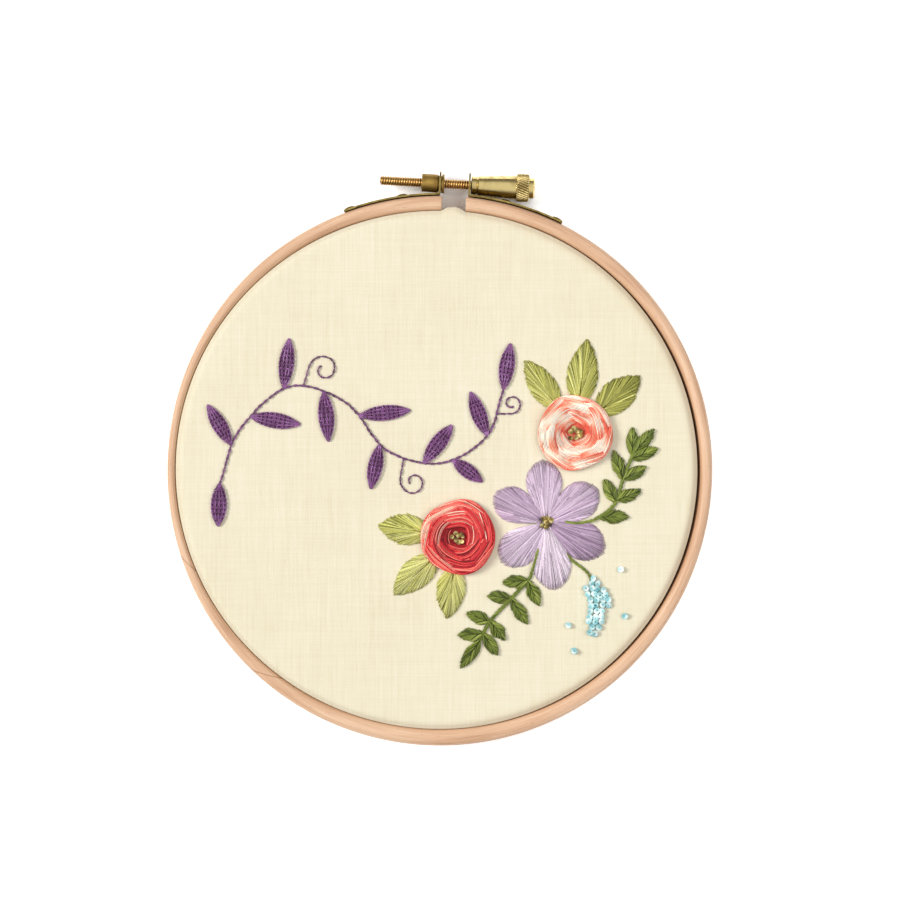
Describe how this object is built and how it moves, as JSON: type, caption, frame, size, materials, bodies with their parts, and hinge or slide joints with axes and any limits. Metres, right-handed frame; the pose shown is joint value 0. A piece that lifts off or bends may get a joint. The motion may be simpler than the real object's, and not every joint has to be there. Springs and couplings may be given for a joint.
{
  "type": "embroidery hoop with embroidered cloth",
  "caption": "Round wooden embroidery hoop with a brass closing screw, holding a stretched cloth with raised stitched roses, petals, leaves, knots and a scrolling vine.",
  "frame": {"origin": "under the middle of the whole outline, in the plane of the hoop's back", "axes": "+Z out of the embroidered face, +Y towards the closing screw, +X to the viewer's right when looking at the face"},
  "size_m": [0.165, 0.173, 0.0147],
  "materials": {
    "beech": "satin pinkish beech, fine grain along the ring",
    "brass": "polished brass, slightly tarnished",
    "cotton": "plain-woven cream cotton and linen, matte",
    "coral_floss": "stranded floss, soft sheen",
    "peach_floss": "stranded floss in peach and cream, soft sheen",
    "gold_floss": "stranded floss knots, soft sheen",
    "lilac_floss": "stranded floss, satin stitch, soft sheen",
    "lime_floss": "stranded floss, satin stitch, soft sheen",
    "green_floss": "stranded floss, satin stitch, soft sheen",
    "blue_floss": "stranded floss knots, soft sheen",
    "purple_floss": "stranded floss, chain stitch, soft sheen"
  },
  "bodies": {
    "hoop": {"outer_ring": "beech", "inner_ring": "beech", "cloth": "cotton", "strap_left": "brass", "strap_right": "brass", "rivet_left_1": "brass", "rivet_left_2": "brass", "rivet_right_1": "brass", "rivet_right_2": "brass", "threaded_bush": "brass", "rose_coral": "coral_floss", "rose_coral_eye": "gold_floss", "rose_peach": "peach_floss", "rose_peach_eye": "gold_floss", "leaf_coral_1": "lime_floss", "leaf_coral_2": "lime_floss", "leaf_coral_3": "lime_floss", "leaf_peach_4": "lime_floss", "leaf_peach_5": "lime_floss", "leaf_peach_6": "lime_floss", "petal_1": "lilac_floss", "petal_2": "lilac_floss", "petal_3": "lilac_floss", "petal_4": "lilac_floss", "petal_5": "lilac_floss", "petal_6": "lilac_floss", "flower_eye": "gold_floss", "sprig_upper": "green_floss", "sprig_lower": "green_floss", "knot_stem": "green_floss", "knot_bunch": "blue_floss", "knot_1": "blue_floss", "knot_2": "blue_floss", "knot_3": "blue_floss", "knot_4": "blue_floss", "vine": "purple_floss"},
    "screw": {"thumb_screw": "brass"}
  },
  "joints": [
    {"name": "screw_turn", "type": "hinge", "parent": "hoop", "child": "screw", "pos_m": [0, 0.08232, 0.005], "axis": [1, 0, 0], "continuous": true}
  ]
}
